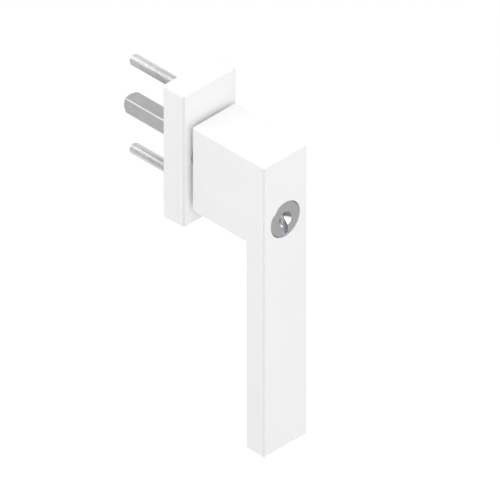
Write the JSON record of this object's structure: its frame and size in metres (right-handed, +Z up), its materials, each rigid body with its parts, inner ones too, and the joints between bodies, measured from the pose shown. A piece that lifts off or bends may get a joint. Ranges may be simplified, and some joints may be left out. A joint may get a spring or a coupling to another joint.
{
  "type": "window handle",
  "caption": "Lockable window handle: square L-shaped lever on a slim rosette, with a key lock in the neck, a square spindle and fixing screws.",
  "frame": {"origin": "centre of the rosette's back face, on the spindle axis", "axes": "+Z up, the way the lever's neck points away from the grip; +Y into the sash, along the spindle; +X to the right seen from the room; the room is at -Y"},
  "size_m": [0.03, 0.0877, 0.1558],
  "materials": {
    "white_coat": "white powder coat, satin",
    "base_plastic": "white glass-filled nylon, satin",
    "lock_nickel": "satin nickel-plated zinc",
    "spindle_steel": "drawn steel, zinc plated",
    "screw_steel": "bright zinc-plated steel",
    "spring_steel": "hardened spring steel",
    "galvanised_sheet": "zinc-plated sheet",
    "collar_zinc": "die-cast zinc, as cast",
    "bush_plastic": "acetal, natural",
    "wafer_brass": "stamped brass"
  },
  "bodies": {
    "rosette": {"rosette_base": "base_plastic", "back_cover": "galvanised_sheet", "fixing_screw_upper": "screw_steel", "fixing_screw_lower": "screw_steel", "detent_spring_left": "spring_steel", "detent_spring_right": "spring_steel", "bearing_bush": "bush_plastic", "locking_collar": "collar_zinc"},
    "cap": {"rosette_cap": "white_coat"},
    "handle": {"lever": "white_coat", "spindle": "spindle_steel", "spindle_pin": "spring_steel", "detent_cam": "collar_zinc", "thrust_washer": "galvanised_sheet", "circlip": "spring_steel", "retaining_pin": "spring_steel"},
    "plug": {"lock_plug": "lock_nickel", "wafer_1": "wafer_brass", "wafer_2": "wafer_brass", "wafer_3": "wafer_brass", "wafer_4": "wafer_brass", "wafer_5": "wafer_brass"}
  },
  "joints": [
    {"name": "handle_turn", "type": "hinge", "parent": "rosette", "child": "handle", "pos_m": [0, 0, 0], "axis": [0, 1, 0], "continuous": true, "deforming": ["detent_spring_left", "detent_spring_right"]},
    {"name": "key_turn", "type": "hinge", "parent": "handle", "child": "plug", "pos_m": [0, -0.0532, -0.0138], "axis": [0, 1, 0], "range_deg": [0, 90]},
    {"name": "cap_lift", "type": "slide", "parent": "rosette", "child": "cap", "axis": [0, -1, 0], "range_m": [0, 0.0015]}
  ]
}
